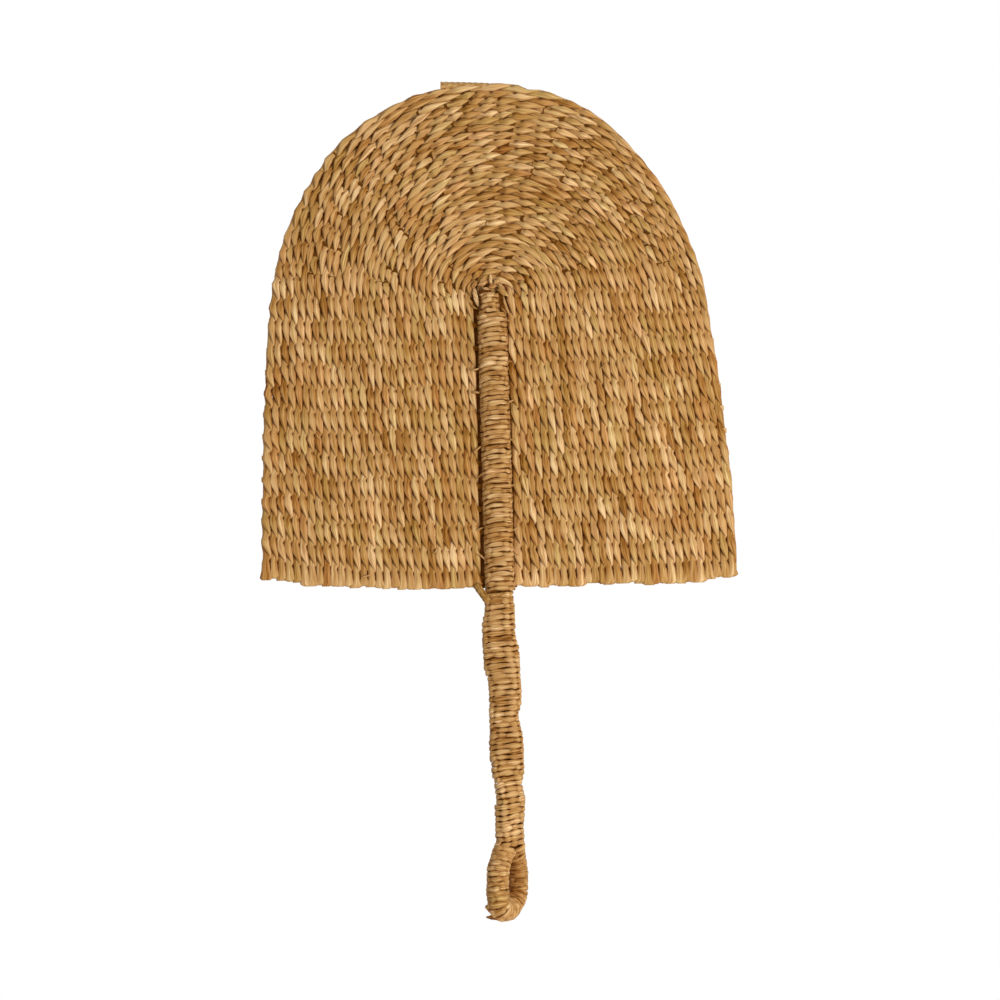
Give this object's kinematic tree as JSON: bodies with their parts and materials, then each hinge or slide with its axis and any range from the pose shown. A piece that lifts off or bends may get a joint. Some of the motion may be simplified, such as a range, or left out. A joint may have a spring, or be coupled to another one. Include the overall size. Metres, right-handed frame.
{
  "type": "woven seagrass hand fan",
  "caption": "Arched hand fan of twined seagrass rows on stakes, with a bound spine, a wound grip and a hanging loop at the end.",
  "frame": {"origin": "middle of the grip, on the handle's axis, where a hand holds the fan", "axes": "+Z along the handle towards the crown, +Y out of the back, -Y out of the front, +X to the right seen from the front"},
  "size_m": [0.2851, 0.03, 0.5016],
  "materials": {
    "weft_seagrass": "dry straw, matt with a soft sheen",
    "stake_seagrass": "dry stem, matt",
    "core_seagrass": "dry stem bundle, matt",
    "wrap_seagrass": "dry straw, matt with a soft sheen"
  },
  "bodies": {
    "root": {"weft_row_01": "weft_seagrass", "weft_row_02": "weft_seagrass", "weft_row_03": "weft_seagrass", "weft_row_04": "weft_seagrass", "weft_row_05": "weft_seagrass", "weft_row_06": "weft_seagrass", "weft_row_07": "weft_seagrass", "weft_row_08": "weft_seagrass", "weft_row_09": "weft_seagrass", "weft_row_10": "weft_seagrass", "weft_row_11": "weft_seagrass", "weft_row_12": "weft_seagrass", "weft_row_13": "weft_seagrass", "weft_row_14": "weft_seagrass", "weft_row_15": "weft_seagrass", "weft_row_16": "weft_seagrass", "weft_row_17": "weft_seagrass", "weft_row_18": "weft_seagrass", "weft_row_19": "weft_seagrass", "weft_row_20": "weft_seagrass", "weft_row_21": "weft_seagrass", "weft_row_22": "weft_seagrass", "weft_row_23": "weft_seagrass", "weft_row_24": "weft_seagrass", "weft_row_25": "weft_seagrass", "weft_row_26": "weft_seagrass", "weft_row_27": "weft_seagrass", "weft_row_28": "weft_seagrass", "weft_row_29": "weft_seagrass", "cross_stake_01": "stake_seagrass", "cross_stake_02": "stake_seagrass", "cross_stake_03": "stake_seagrass", "cross_stake_04": "stake_seagrass", "cross_stake_05": "stake_seagrass", "cross_stake_06": "stake_seagrass", "cross_stake_07": "stake_seagrass", "cross_stake_08": "stake_seagrass", "cross_stake_09": "stake_seagrass", "cross_stake_10": "stake_seagrass", "cross_stake_11": "stake_seagrass", "cross_stake_12": "stake_seagrass", "cross_stake_13": "stake_seagrass", "crown_stake_1": "stake_seagrass", "crown_stake_2": "stake_seagrass", "crown_stake_3": "stake_seagrass", "crown_stake_4": "stake_seagrass", "crown_stake_5": "stake_seagrass", "crown_stake_6": "stake_seagrass", "crown_stake_7": "stake_seagrass", "handle_core": "core_seagrass", "spine_wrap": "wrap_seagrass", "grip_wrap": "wrap_seagrass", "loop_wrap": "wrap_seagrass", "neck_tie": "wrap_seagrass"}
  },
  "joints": []
}
